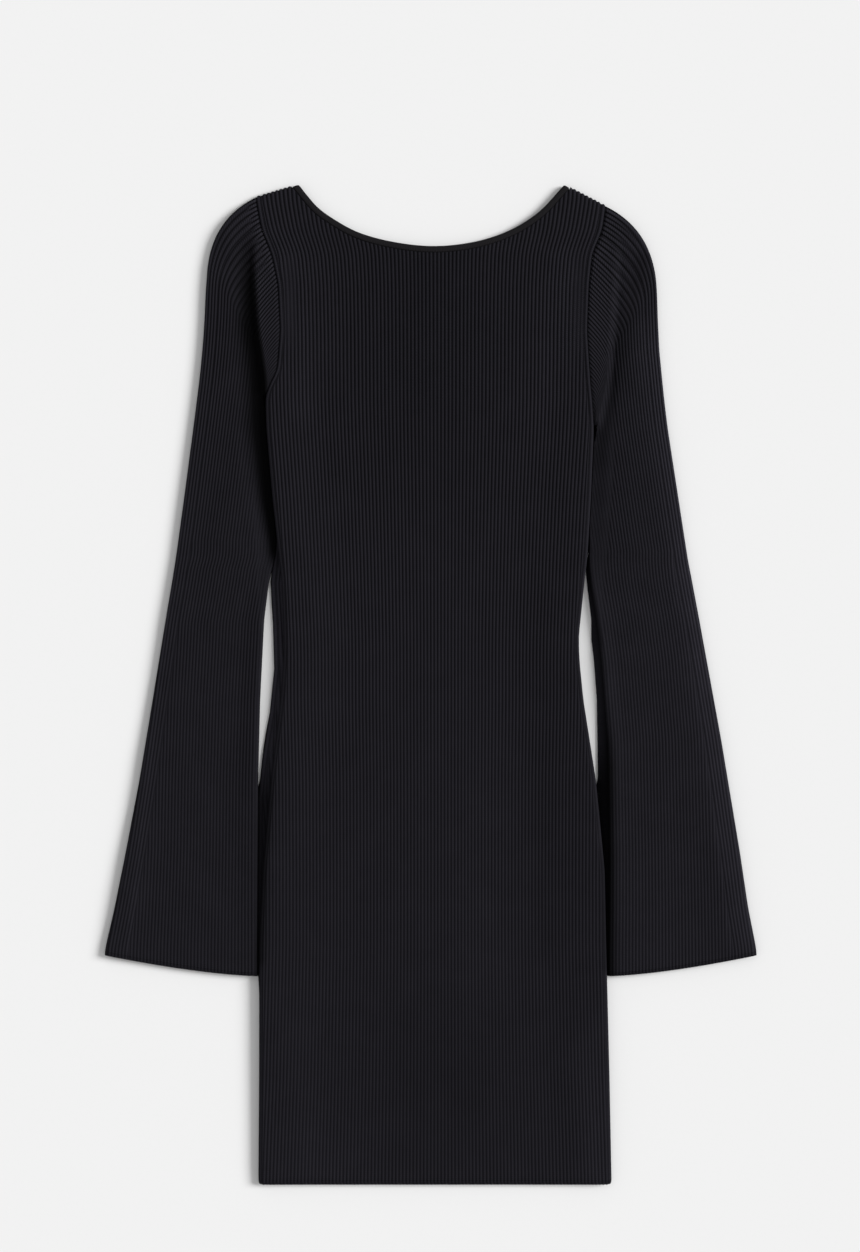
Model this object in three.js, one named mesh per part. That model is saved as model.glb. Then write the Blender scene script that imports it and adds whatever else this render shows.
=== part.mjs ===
import * as THREE from "three";

// A bodycon dress of fine rib knit with long flared sleeves, laid flat on its back.
// Millimetres: +X to the right of the picture, +Y towards the neck, +Z up from the table.
// The origin lies on the table under the middle of the dress.

// The cloth.
const WALL = 1.6; // front panel and the sleeves' upper layer, without their ribs
const UNDER_LAYER = 1.5; // back panel and the sleeves' lower layer
const RIB_HEIGHT = 0.7;
const STARTING_RIB = 0.06; // width of a rib that has not started yet, as a share of a full one
const SEAM_GAP = 0.7; // measured across the picture, 0.3 or more square to the seam
const SEAM_Z = 1.8; // where the front meets the back along the sides and the shoulders
const TURN = 6; // how far the soft turn of the cloth reaches in from a side edge
const SHOULDER_TURN = 5;
const SWELL = 28; // width over which the thicker sides sink to the middle's height
const HEM_CORNER = 4;

// The front and back from the hem up: the edges' distances from the middle line, the rib spacing,
// and how high the front lies beside its edges and in the middle.
const BODY = [
  { y: -425, left: 146.6, right: 153.9, rib: 2.98, side: 4.2, middle: 3.9 },
  { y: -330, left: 146.0, right: 152.1, rib: 2.91, side: 5.2, middle: 4.5 },
  { y: -222, left: 145.9, right: 149.4, rib: 2.86, side: 5.7, middle: 4.8 },
  { y: -158, left: 143.0, right: 148.1, rib: 2.86, side: 6.2, middle: 5.0 },
  { y: -81, left: 135.7, right: 140.5, rib: 2.87, side: 6.6, middle: 5.2 },
  { y: -13, left: 127.7, right: 129.9, rib: 2.91, side: 6.9, middle: 5.3 },
  { y: 40, left: 125.2, right: 125.9, rib: 2.92, side: 7.0, middle: 5.4 },
  { y: 106, left: 128.8, right: 133.2, rib: 2.99, side: 6.9, middle: 5.4 },
  { y: 158, left: 134.7, right: 136.3, rib: 3.06, side: 6.8, middle: 5.5 },
  { y: 218, left: 139.9, right: 138.8, rib: 3.16, side: 6.8, middle: 5.5 },
  { y: 244, left: 140.7, right: 136.9, rib: 3.19, side: 6.7, middle: 5.5 },
  { y: 254, left: 137.4, right: 135.8, rib: 3.19, side: 6.6, middle: 5.4 },
  { y: 266, left: 130.6, right: 135.1, rib: 3.2, side: 6.5, middle: 5.4 },
  { y: 300, left: 127.8, right: 132.9, rib: 3.21, side: 6.3, middle: 5.3 },
  { y: 340, left: 129.8, right: 134.4, rib: 3.24, side: 6.0, middle: 5.0 },
  { y: 366, left: 135.2, right: 137.1, rib: 3.3, side: 5.7, middle: 4.8 },
  { y: 386, left: 143.8, right: 145.8, rib: 3.5, side: 5.3, middle: 4.6 },
  { y: 410, left: 148.4, right: 149.2, rib: 3.62, side: 4.9, middle: 4.4 },
  { y: 414.2, left: 148.5, right: 149.2, rib: 3.64, side: 4.8, middle: 4.4 },
];
const STRAIGHT_RIB_X = 8.4; // the ribs spread to both sides of this one, which runs straight down
const RIBS_BESIDE = { left: 54, right: 50 };
const BODY_RIBS = RIBS_BESIDE.left + RIBS_BESIDE.right;
const UNDERARM_Y = { left: 244, right: 218 };
const SEWN_WITHIN = 12; // above the underarm the side turn fades out over this length
const SHOULDER_END_Y = { left: 414.2, right: 406.6 };
const STRAIGHT_TO_Y = 218; // sections above this one bend to follow the neckline
const INSIDE_COLUMNS = 20;
const BACK_COLUMNS = 26;
const BACK_NECK_DROP = 0.5; // the back's neck edge lies this much lower
const INSIDE_DROP = 2.4; // the front's inner skin ends this far below its outer edge
const NECK_SAMPLES = 80;
const RUN_ON = 6; // how far the neck edge goes on straight past the shoulder ends
const SHOULDER_REACH = 0.2; // the shoulder line is read this share of its length into the neck
const LEAST_RISE = 0.001; // keeps a direction where the side edge doesn't turn down at all
const SETTLING_TRIES = 30;
const SETTLING_SHARE = 0.6;

// The neckline's lower edge of the opening, across the picture.
const NECKLINE = [
  { x: -112.4, y: 425.0 },
  { x: -104.6, y: 415.1 },
  { x: -95.4, y: 404.9 },
  { x: -81.1, y: 394.7 },
  { x: -62.0, y: 384.5 },
  { x: -34.0, y: 376.6 },
  { x: 2.0, y: 372.6 },
  { x: 37.0, y: 376.2 },
  { x: 63.8, y: 384.5 },
  { x: 82.5, y: 394.7 },
  { x: 95.5, y: 404.9 },
  { x: 105.0, y: 415.1 },
  { x: 113.6, y: 424.8 },
];
const BAND_WIDTH = 5.5;
const BAND_THICKNESS = 2.1;
const BAND_STACK = 4.6; // both runs of the band where they lie on each other
const BAND_STEPS = 36;
const FOLD_STEPS = 3;

// The sleeves from the shoulder down: the outer and inner edges' distances from the middle line,
// the rib spacing, and how high the cloth lies near each edge.
const SLEEVES = {
  left: [
    { y: 396, outer: 186.1, inner: 147.0, rib: 2.68, outside: 4.4, inside: 4.6 },
    { y: 357, outer: 189.6, inner: 145.1, rib: 2.68, outside: 4.4, inside: 4.2 },
    { y: 335, outer: 191.3, inner: 143.8, rib: 2.68, outside: 4.4, inside: 4.0 },
    { y: 310, outer: 192.4, inner: 142.6, rib: 2.68, outside: 4.4, inside: 4.0 },
    { y: 284, outer: 194.2, inner: 141.9, rib: 2.68, outside: 4.4, inside: 4.0 },
    { y: 250, outer: 197.8, inner: 142.2, rib: 2.68, outside: 4.4, inside: 4.1 },
    { y: 218, outer: 201.9, inner: 141.3, rib: 2.68, outside: 4.4, inside: 4.3 },
    { y: 158, outer: 209.8, inner: 136.0, rib: 2.68, outside: 4.4, inside: 4.8 },
    { y: 120, outer: 215.0, inner: 132.2, rib: 2.69, outside: 4.4, inside: 5.4 },
    { y: 100, outer: 217.8, inner: 137.2, rib: 2.7, outside: 4.4, inside: 5.7 },
    { y: 55, outer: 225.4, inner: 141.6, rib: 2.71, outside: 4.4, inside: 5.9 },
    { y: -13, outer: 236.4, inner: 145.1, rib: 2.72, outside: 4.5, inside: 5.9 },
    { y: -81, outer: 247.6, inner: 146.8, rib: 2.73, outside: 4.6, inside: 5.8 },
    { y: -142, outer: 259.2, inner: 147.0, rib: 2.75, outside: 4.6, inside: 5.4 },
    { y: -190, outer: 268.9, inner: 147.0, rib: 2.81, outside: 4.5, inside: 5.0 },
    { y: -226, outer: 277.2, inner: 146.8, rib: 2.87, outside: 4.3, inside: 4.6 },
    { y: -250, outer: 277.4, inner: 146.8, rib: 2.88, outside: 4.2, inside: 4.4 },
  ],
  right: [
    { y: 396, outer: 185.6, inner: 158.0, rib: 2.68, outside: 4.4, inside: 4.6 },
    { y: 357, outer: 190.6, inner: 155.6, rib: 2.68, outside: 4.4, inside: 4.2 },
    { y: 335, outer: 192.4, inner: 153.5, rib: 2.68, outside: 4.4, inside: 4.0 },
    { y: 310, outer: 193.2, inner: 151.0, rib: 2.68, outside: 4.4, inside: 4.0 },
    { y: 284, outer: 194.4, inner: 148.9, rib: 2.68, outside: 4.4, inside: 4.0 },
    { y: 250, outer: 197.7, inner: 144.4, rib: 2.68, outside: 4.4, inside: 4.1 },
    { y: 218, outer: 201.5, inner: 140.0, rib: 2.68, outside: 4.4, inside: 4.3 },
    { y: 158, outer: 210.7, inner: 137.7, rib: 2.68, outside: 4.4, inside: 4.8 },
    { y: 106, outer: 218.7, inner: 134.6, rib: 2.69, outside: 4.4, inside: 5.6 },
    { y: 88, outer: 222.2, inner: 135.6, rib: 2.7, outside: 4.4, inside: 5.8 },
    { y: 55, outer: 228.4, inner: 140.9, rib: 2.71, outside: 4.4, inside: 5.9 },
    { y: 21, outer: 234.6, inner: 145.2, rib: 2.72, outside: 4.5, inside: 5.9 },
    { y: -47, outer: 247.0, inner: 150.3, rib: 2.73, outside: 4.6, inside: 5.8 },
    { y: -142, outer: 262.8, inner: 151.8, rib: 2.75, outside: 4.6, inside: 5.4 },
    { y: -190, outer: 270.0, inner: 151.6, rib: 2.79, outside: 4.5, inside: 5.0 },
    { y: -226, outer: 277.2, inner: 151.2, rib: 2.82, outside: 4.3, inside: 4.6 },
    { y: -250, outer: 277.4, inner: 151.2, rib: 2.83, outside: 4.2, inside: 4.4 },
  ],
};
const SLEEVE_RIBS = { edge: 3, first: 4, line: 12, rest: 27 }; // from the outer edge inwards
const SLEEVE_EDGE_Z = 2.0;
const UNDER_TURN = 2.5; // the lower layer's soft turn at its edges
const CUFF_Y = -230.1;
const CUFF_DROP = 17.8;
const CUFF_BEND = 1.5;
const SHOULDER_SLOPE = 26; // degrees that the first ribs fall by as they leave the armhole
const ARM_SLOPE = 45; // the same for the ribs lower down
const SLOPING_RIBS = 10; // ribs over which one slope turns into the other
const FIRST_BEND = 44; // how far below its corner a rib has finished turning down
const LATER_BEND = 12;
const PATCH_RISE = 0.5; // the cloth beside the armhole stands this much above the seam
const PATCH_BLEND = 1.6; // how quickly the cloth's height goes over to the seam's
const FIRST_CORNER = 20; // where the search for a rib's corner starts, out from the armhole
const SLEEVE_HOLLOW = 0.3; // least room between a sleeve's two layers
const TUBE_CORNER = 2.6; // how far in from an edge the inside of the lower layer starts
const BEND_STEPS = 3;
const SLEEVE_LEVELS = [0, 0.1, 0.24, 0.38, 0.5, 0.66, 0.85, 1];
const SLEEVE_INSIDE_COLUMNS = 18;

const KNIT = new THREE.MeshStandardMaterial({ color: 0x1b1b1e, roughness: 0.92, metalness: 0 });
const BAND = new THREE.MeshStandardMaterial({ color: 0x1f1f22, roughness: 0.9, metalness: 0 });

const clamp = (value, low, high) => Math.min(high, Math.max(low, value));
const mix = (from, to, share) => from + (to - from) * share;
const ease = (share) => 0.5 - 0.5 * Math.cos(Math.PI * clamp(share, 0, 1));
const turn = (share) => Math.sqrt(1 - (1 - clamp(share, 0, 1)) ** 2);

// The row of a table at height y, in straight lines between its rows.
function section(table, y) {
  const ordered = table[0].y < table[1].y ? table : [...table].reverse();
  const inside = clamp(y, ordered[0].y, ordered[ordered.length - 1].y);
  const above = Math.max(1, ordered.findIndex((row) => row.y >= inside));
  const [low, high] = [ordered[above - 1], ordered[above]];
  const share = (inside - low.y) / (high.y - low.y);
  return Object.fromEntries(Object.keys(low).map((name) => [name, mix(low[name], high[name], share)]));
}

// Where each half rib begins across a piece, from 0 to 1, when the ribs have these widths.
function halfRibShares(widths) {
  const whole = widths.reduce((sum, width) => sum + width, 0);
  const shares = [0];
  for (const width of widths) {
    const last = shares[shares.length - 1];
    shares.push(last + (0.5 * width) / whole, last + width / whole);
  }
  shares[shares.length - 1] = 1;
  return shares;
}

// Points and triangles of one closed solid.
class Solid {
  constructor() {
    this.places = [];
    this.triangles = [];
  }

  line(points) {
    return points.map(({ x, y, z }) => this.places.push(new THREE.Vector3(x, y, z)) - 1);
  }

  shares(line) {
    const lengths = [0];
    for (let i = 1; i < line.length; i += 1) {
      const step = this.places[line[i]].distanceTo(this.places[line[i - 1]]);
      lengths.push(lengths[i - 1] + step);
    }
    return lengths.map((length) => length / lengths[lengths.length - 1]);
  }

  // Fills between two lines, which may have different numbers of points.
  // Seen with the first line below the second and both running right, the faces look at the viewer.
  join(below, above) {
    const [low, high] = [this.shares(below), this.shares(above)];
    const paired = below.length === above.length;
    let [i, j] = [0, 0];
    while (i < below.length - 1 || j < above.length - 1) {
      const first = paired ? i <= j : (low[i + 1] ?? 2) <= (high[j + 1] ?? 2);
      if (first) {
        this.triangles.push(below[i], below[i + 1], above[j]);
        i += 1;
      } else {
        this.triangles.push(below[i], above[j + 1], above[j]);
        j += 1;
      }
    }
  }

  // A flat-lying wall from its upper and lower skins, each a list of lines from the bottom up.
  wall(upper, lower) {
    const last = upper.length - 1;
    for (let r = 0; r < last; r += 1) {
      this.join(upper[r], upper[r + 1]);
      this.join(lower[r + 1], lower[r]);
    }
    this.join(lower[0], upper[0]);
    this.join(upper[last], lower[last]);
    this.join(upper.map((line) => line[0]), lower.map((line) => line[0]));
    this.join(lower.map((line) => line.at(-1)), upper.map((line) => line.at(-1)));
  }

  mesh(name, material) {
    const volume = this.triangles.reduce((sum, _, i, all) => {
      if (i % 3) return sum;
      const [a, b, c] = [all[i], all[i + 1], all[i + 2]].map((n) => this.places[n]);
      return sum + a.dot(new THREE.Vector3().crossVectors(b, c));
    }, 0);
    const facing = volume < 0 ? [...this.triangles].reverse() : this.triangles;
    const geometry = new THREE.BufferGeometry().setFromPoints(this.places).setIndex(facing);
    geometry.computeVertexNormals();
    const mesh = new THREE.Mesh(geometry, material);
    mesh.name = name;
    return mesh;
  }
}

// The neckline as a smooth curve, from the left shoulder to the right one.
const neckCurve = new THREE.CatmullRomCurve3(
  NECKLINE.map(({ x, y }) => new THREE.Vector3(x, y, 0)),
  false,
  "centripetal",
);

// A point beside the neckline, this far out into the cloth, and the curve's direction there.
function besideNeck(share, out) {
  const along = neckCurve.getTangentAt(share);
  const away = new THREE.Vector3(along.y, -along.x, 0);
  return { point: neckCurve.getPointAt(share).addScaledVector(away, out), along };
}

// The panels' neck edge, just outside the band, run on straight at both ends.
const neckEdge = (() => {
  const shares = Array.from({ length: NECK_SAMPLES + 1 }, (_, i) => i / NECK_SAMPLES);
  const samples = shares.map((share) => besideNeck(share, BAND_WIDTH + SEAM_GAP));
  const points = samples.map(({ point }) => point);
  const [start, end] = [samples[0], samples[samples.length - 1]];
  points.unshift(start.point.clone().addScaledVector(start.along, -RUN_ON));
  points.push(end.point.clone().addScaledVector(end.along, RUN_ON));
  return points;
})();

// The top edge of the front and back at this place across: the shoulder or the neck, whichever is lower.
function topEdge(x) {
  const side = x < 0 ? "left" : "right";
  const tip = x < 0 ? NECKLINE[0] : NECKLINE[NECKLINE.length - 1];
  const end = section(BODY, SHOULDER_END_Y[side])[side];
  const outward = (Math.abs(x) - Math.abs(tip.x)) / (end - Math.abs(tip.x));
  const shoulder = outward < -SHOULDER_REACH ? Infinity : mix(tip.y, SHOULDER_END_Y[side], outward);
  const after = neckEdge.findIndex((point) => point.x >= x);
  if (after < 1) return { y: shoulder, shoulder };
  const [a, b] = [neckEdge[after - 1], neckEdge[after]];
  const neck = mix(a.y, b.y, (x - a.x) / (b.x - a.x));
  return { y: Math.min(shoulder, neck), shoulder };
}

const levelUnder = (y, top) =>
  y <= STRAIGHT_TO_Y
    ? y
    : mix(STRAIGHT_TO_Y, top, (y - STRAIGHT_TO_Y) / (SHOULDER_END_Y.left - STRAIGHT_TO_Y));

// The ribs of the body at height y, from left to right. On each side they are decreased beside the
// outermost one.
const bodyShares = (y) => {
  const { left, right, rib } = section(BODY, y);
  const room = { left: left + STRAIGHT_RIB_X, right: right - STRAIGHT_RIB_X };
  const ribs = ["left", "right"].map((name) => {
    const missing = RIBS_BESIDE[name] - room[name] / rib;
    const started = Array.from({ length: RIBS_BESIDE[name] }, (_, fromEdge) =>
      fromEdge < 1 ? 1 : clamp(fromEdge - missing, STARTING_RIB, 1),
    );
    const whole = started.reduce((sum, share) => sum + share, 0);
    const inOrder = name === "left" ? started : started.reverse();
    return inOrder.map((share) => ({ share, width: (share * room[name]) / whole }));
  });
  const all = ribs.flat();
  return { shares: halfRibShares(all.map(({ width }) => width)), widths: all.map(({ share }) => share) };
};

// The front's outer surface under its ribs, at a share of the way along the cloth from left to right:
// the place and the direction that it faces.
function acrossFront(share, y) {
  const { left, right, side, middle } = section(BODY, y);
  const edges = ["left", "right"].map((name) => {
    const sewn = ease((y - UNDERARM_Y[name]) / SEWN_WITHIN);
    const low = mix(SEAM_Z, side, sewn);
    const drop = side - low;
    const outline = (name === "left" ? left : right) - SEAM_GAP / 2 - RIB_HEIGHT * (1 - sewn);
    return { outline, low, drop, length: (Math.PI / 2) * Math.sqrt((TURN ** 2 + drop ** 2) / 2) };
  });
  const reach = edges[0].outline + edges[1].outline - 2 * TURN;
  const whole = reach + edges[0].length + edges[1].length;
  const along = share * whole;
  const fromLeft = along < edges[0].length + reach / 2;
  const edge = fromLeft ? edges[0] : edges[1];
  const inward = fromLeft ? along : whole - along;
  const angle = (Math.min(1, inward / edge.length) * Math.PI) / 2;
  const depth = TURN * (1 - Math.cos(angle)) + Math.max(0, inward - edge.length);
  const crest = mix(side, middle, ease((depth - TURN) / SWELL));
  const z = angle < Math.PI / 2 ? edge.low + edge.drop * Math.sin(angle) : crest;
  const faces = new THREE.Vector2(-edge.drop * Math.cos(angle), TURN * Math.sin(angle) + LEAST_RISE);
  faces.normalize();
  const handed = fromLeft ? 1 : -1;
  return { x: handed * (depth - edge.outline), z, nx: handed * faces.x, nz: faces.y, depth };
}

// How far up a column reaches: its place across is found at a height, then the top edge there, and so on.
function topOfColumn(shareAt, below) {
  let y = STRAIGHT_TO_Y;
  for (let tries = 0; tries < SETTLING_TRIES; tries += 1) {
    const edge = topEdge(acrossFront(shareAt(y), y).x).y;
    y = mix(y, edge, SETTLING_SHARE);
  }
  return y - below;
}

// One point of the front: `out` is how far it stands out from the surface under the ribs, and
// `below` is how far the column ends below the panel's top edge.
function frontPoint(shareAt, level, out, below) {
  const top = topOfColumn(shareAt, below);
  const y = levelUnder(level, top);
  const at = acrossFront(shareAt(y), y);
  const fromShoulder = topEdge(at.x).shoulder - y;
  const lowered = mix(SEAM_Z, at.z, turn(fromShoulder / SHOULDER_TURN));
  const corner = level === BODY[0].y ? HEM_CORNER * (1 - turn(at.depth / HEM_CORNER)) : 0;
  return {
    x: at.x + out * at.nx,
    y: y + corner,
    z: Math.max(SEAM_Z, lowered + out * at.nz),
  };
}

function makeFront() {
  const solid = new Solid();
  const outside = BODY.map(({ y: level }) => {
    const points = [];
    for (let column = 0; column <= 2 * BODY_RIBS; column += 1) {
      const shareAt = (y) => bodyShares(y).shares[column];
      const started = bodyShares(level).widths[Math.min(BODY_RIBS - 1, column >> 1)];
      points.push(frontPoint(shareAt, level, column % 2 ? RIB_HEIGHT * started : 0, 0));
    }
    return solid.line(points);
  });
  const inside = BODY.map(({ y: level }) => {
    const columns = Array.from({ length: INSIDE_COLUMNS + 1 }, (_, i) => i / INSIDE_COLUMNS);
    return solid.line(columns.map((share) => frontPoint(() => share, level, -WALL, INSIDE_DROP)));
  });
  solid.wall(outside, inside);
  return solid.mesh("front", KNIT);
}

function makeBack() {
  const solid = new Solid();
  const levels = BODY.map(({ y }) => y);
  const columns = Array.from({ length: BACK_COLUMNS + 1 }, (_, i) => i / BACK_COLUMNS);
  const layer = (z) =>
    levels.map((level) => {
      const points = columns.map((share) => frontPoint(() => share, level, 0, BACK_NECK_DROP));
      return solid.line(points.map(({ x, y }) => ({ x, y, z })));
    });
  solid.wall(layer(UNDER_LAYER), layer(0));
  return solid.mesh("back", KNIT);
}

// The band is one strip: over the front neckline, round a fold at the shoulder and under the back one.
function makeNeckband() {
  const outerRadius = BAND_STACK / 2;
  const innerRadius = outerRadius - BAND_THICKNESS;
  const end = outerRadius / neckCurve.getLength();
  const corners = (share, angle) => {
    const [inner, outer] = [0, BAND_WIDTH].map((out) => besideNeck(share, out));
    const place = (edge, radius) => {
      const point = edge.point.clone().addScaledVector(edge.along, radius * Math.sin(angle));
      return point.setZ(outerRadius + radius * Math.cos(angle));
    };
    return [
      place(inner, innerRadius),
      place(inner, outerRadius),
      place(outer, outerRadius),
      place(outer, innerRadius),
    ];
  };
  const runs = Array.from({ length: BAND_STEPS + 1 }, (_, i) => mix(end, 1 - end, i / BAND_STEPS));
  const folds = Array.from({ length: FOLD_STEPS }, (_, i) => (Math.PI * (i + 1)) / (FOLD_STEPS + 1));
  const sections = [
    ...runs.map((share) => corners(share, 0)),
    ...folds.map((angle) => corners(1 - end, angle)),
    ...[...runs].reverse().map((share) => corners(share, Math.PI)),
    ...folds.map((angle) => corners(end, Math.PI + angle)),
  ];
  const solid = new Solid();
  const rings = sections.map((points) => solid.line(points)).map((ring) => [...ring, ring[0]]);
  rings.forEach((ring, i) => solid.join(ring, rings[(i + 1) % rings.length]));
  return solid.mesh("neckband", BAND);
}

// The armhole seam, from the shoulder down to the underarm, as distances from the middle line.
function armhole(name) {
  const levels = BODY.map(({ y }) => levelUnder(y, SHOULDER_END_Y[name])).reverse();
  return levels
    .filter((y) => y >= UNDERARM_Y[name])
    .map((y) => new THREE.Vector2(section(BODY, y)[name] + SEAM_GAP / 2, y));
}

// A line of points that can be read at any distance along it.
class Walk {
  constructor(points) {
    this.points = points;
    this.reached = [0];
    points.slice(1).forEach((point, i) => this.reached.push(this.reached[i] + point.distanceTo(points[i])));
    this.length = this.reached[this.reached.length - 1];
  }

  at(distance) {
    const inside = clamp(distance, 0, this.length);
    const after = Math.max(1, this.reached.findIndex((reached) => reached >= inside - 1e-9));
    const share = (inside - this.reached[after - 1]) / (this.reached[after] - this.reached[after - 1] || 1);
    return this.points[after - 1].clone().lerp(this.points[after], share);
  }
}

// Ribs of a sleeve that have started where `count` of them fit across.
function sleeveShares(count) {
  const { edge, first, line, rest } = SLEEVE_RIBS;
  const added = Math.max(0, count - first - rest);
  const grown = (number, share) => clamp(added * share - number, STARTING_RIB, 1);
  const widths = [];
  for (let i = 0; i < edge; i += 1) widths.push(grown(edge - 1 - i, edge / (edge + line)));
  for (let i = 0; i < first; i += 1) widths.push(1);
  for (let i = 0; i < line; i += 1) widths.push(grown(line - 1 - i, line / (edge + line)));
  for (let i = 0; i < rest; i += 1) widths.push(clamp(count - first - i, STARTING_RIB, 1));
  return { shares: halfRibShares(widths), widths };
}

// Where a column of a sleeve lies at height y, as a distance from the middle line.
function sleeveColumn(table, column, y) {
  const { outer, inner, rib } = section(table, y);
  return mix(outer, inner, sleeveShares((outer - inner) / rib).shares[column]);
}

// How far down the cuff reaches at a place across the sleeve, given as a distance from the middle line.
function cuffAt(table, x) {
  const { outer, inner } = table[table.length - 1];
  const across = clamp((x - outer) / (inner - outer), 0, 1);
  return CUFF_Y - CUFF_DROP * (1 - (1 - across) ** CUFF_BEND);
}

// A column of a sleeve in plan, from the cuff up to where it starts on the armhole seam. It leaves the seam
// at a slope, turns down at a soft corner and goes on along the sleeve.
function columnPath(table, column, start) {
  const { edge, first, line } = SLEEVE_RIBS;
  const fromEdge = column / 2 - edge;
  const rib = Math.max(0, fromEdge - (fromEdge > first ? line : 0));
  const lower = ease(rib / SLOPING_RIBS);
  const fall = Math.tan(THREE.MathUtils.degToRad(mix(SHOULDER_SLOPE, ARM_SLOPE, lower)));
  const corner = new THREE.Vector2(start.x + FIRST_CORNER, start.y);
  for (let tries = 0; tries < SETTLING_TRIES; tries += 1) {
    corner.y = start.y - (corner.x - start.x) * fall;
    corner.x = Math.max(start.x, sleeveColumn(table, column, corner.y));
  }
  const straight = corner.y - mix(FIRST_BEND, LATER_BEND, lower);
  const turned = new THREE.Vector2(sleeveColumn(table, column, straight), straight);
  const curve = new THREE.QuadraticBezierCurve(start, corner, turned);
  const cuff = cuffAt(table, sleeveColumn(table, column, CUFF_Y));
  const down = SLEEVE_LEVELS.map((level) => {
    const y = mix(straight, cuff, level);
    return new THREE.Vector2(sleeveColumn(table, column, y), y);
  });
  const bent = Array.from({ length: BEND_STEPS }, (_, i) => curve.getPoint(i / BEND_STEPS));
  return [...bent, ...down].reverse();
}

// The rings of a sleeve's upper layer in plan, from the cuff up to the armhole.
function sleeveRings(name) {
  const seam = new Walk(armhole(name));
  const starts = sleeveShares(SLEEVE_RIBS.first + SLEEVE_RIBS.rest).shares;
  const paths = starts.map((share, column) => {
    return columnPath(SLEEVES[name], column, seam.at(share * seam.length));
  });
  return paths[0].map((_, ring) => paths.map((path) => path[ring]));
}

// The height of a sleeve's upper layer under its ribs.
function sleeveHeight(name, point, fromOuter, atArmhole) {
  const { outer, inner, outside, inside } = section(SLEEVES[name], point.y);
  const across = clamp((outer - point.x) / (outer - inner), 0, 1);
  const sewn = section(BODY, point.y).side + PATCH_RISE * Math.sin(Math.PI * atArmhole);
  const high = mix(mix(outside, inside, across), sewn, ease(atArmhole * PATCH_BLEND));
  const fromInner = Math.abs(point.x - inner) + Math.max(0, point.y - UNDERARM_Y[name]);
  return mix(SLEEVE_EDGE_Z, high, turn(fromOuter / TURN) * turn(fromInner / TURN));
}

// The ribbed upper skin of one ring of a sleeve.
function upperSkin(name, ring, atArmhole) {
  const walk = new Walk(ring);
  const { outer, inner, rib } = section(SLEEVES[name], ring[0].y);
  const count = mix((outer - inner) / rib, SLEEVE_RIBS.first + SLEEVE_RIBS.rest, atArmhole);
  const { widths } = sleeveShares(count);
  return ring.map(({ x, y }, column) => {
    if (column === 0 || column === ring.length - 1) return { x, y, z: SLEEVE_EDGE_Z };
    const rise = column % 2 ? RIB_HEIGHT * widths[column >> 1] : 0;
    return { x, y, z: sleeveHeight(name, { x, y }, walk.reached[column], atArmhole) + rise };
  });
}

// Where the lower layer's columns lie along a ring, so that they end on the armhole seam's own points.
function lowerColumns(name, ring) {
  const walk = new Walk(ring);
  const seam = new Walk(armhole(name));
  const starts = sleeveShares(SLEEVE_RIBS.first + SLEEVE_RIBS.rest).shares;
  const places = seam.reached.slice(1, -1).map((reached) => {
    const share = reached / seam.length;
    const after = Math.max(1, starts.findIndex((other) => other >= share));
    const between = (share - starts[after - 1]) / (starts[after] - starts[after - 1]);
    return mix(walk.reached[after - 1], walk.reached[after], between);
  });
  return [UNDER_TURN, ...places, walk.length - UNDER_TURN];
}

// The two plain skins inside the tube, one under the upper layer and one on the lower layer.
function insideSkins(name, ring, atArmhole, under) {
  const walk = new Walk(ring);
  const within = (distance) => {
    const point = walk.at(distance);
    const edge = section(SLEEVES[name], point.y).inner + WALL;
    if (point.y < UNDERARM_Y[name]) point.x = Math.max(point.x, edge);
    return point;
  };
  const columns = Array.from({ length: SLEEVE_INSIDE_COLUMNS + 1 }, (_, i) => i / SLEEVE_INSIDE_COLUMNS);
  const upper = columns.map((share) => {
    const distance = mix(WALL, walk.length - WALL, share);
    const { x, y } = within(distance);
    if (share === 0 || share === 1) return { x, y, z: SLEEVE_EDGE_Z };
    const high = sleeveHeight(name, { x, y }, distance, atArmhole) - WALL;
    return { x, y, z: Math.max(UNDER_LAYER + SLEEVE_HOLLOW, high) };
  });
  const lower = under.map((distance) => {
    const { x, y } = within(clamp(distance, TUBE_CORNER, walk.length - TUBE_CORNER));
    return { x, y, z: UNDER_LAYER };
  });
  return { upper, lower };
}

// A sleeve is a flattened tube. Its upper layer is ribbed, and its lower layer rests on the table.
function makeSleeve(name) {
  const solid = new Solid();
  const handed = name === "left" ? -1 : 1;
  const line = (points) => solid.line(points.map(({ x, y, z }) => ({ x: handed * x, y, z })));
  const between = (ends, points) => [ends[0], ...line(points), ends[ends.length - 1]];
  const skins = sleeveRings(name).map((ring, r) => {
    const atArmhole = clamp((r - SLEEVE_LEVELS.length + 1) / BEND_STEPS, 0, 1);
    const under = lowerColumns(name, ring);
    const walk = new Walk(ring);
    const upper = line(upperSkin(name, ring, atArmhole));
    const lower = between(upper, under.map((distance) => ({ ...walk.at(distance), z: 0 })));
    const inside = insideSkins(name, ring, atArmhole, under);
    const insideUpper = line(inside.upper);
    return { upper, lower, insideUpper, insideLower: between(insideUpper, inside.lower) };
  });
  skins.slice(1).forEach((above, r) => {
    solid.join(skins[r].upper, above.upper);
    solid.join(above.lower, skins[r].lower);
    solid.join(above.insideUpper, skins[r].insideUpper);
    solid.join(skins[r].insideLower, above.insideLower);
  });
  const [cuff, armholeEnd] = [skins[0], skins[skins.length - 1]];
  solid.join(cuff.insideUpper, cuff.upper);
  solid.join(cuff.lower, cuff.insideLower);
  solid.join(armholeEnd.upper, armholeEnd.insideUpper);
  solid.join(armholeEnd.insideLower, armholeEnd.lower);
  return solid.mesh("sleeve_" + name, KNIT);
}

const dress = new THREE.Group();
dress.add(makeFront(), makeBack(), makeNeckband(), makeSleeve("left"), makeSleeve("right"));

export default dress;
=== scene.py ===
import math

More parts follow.
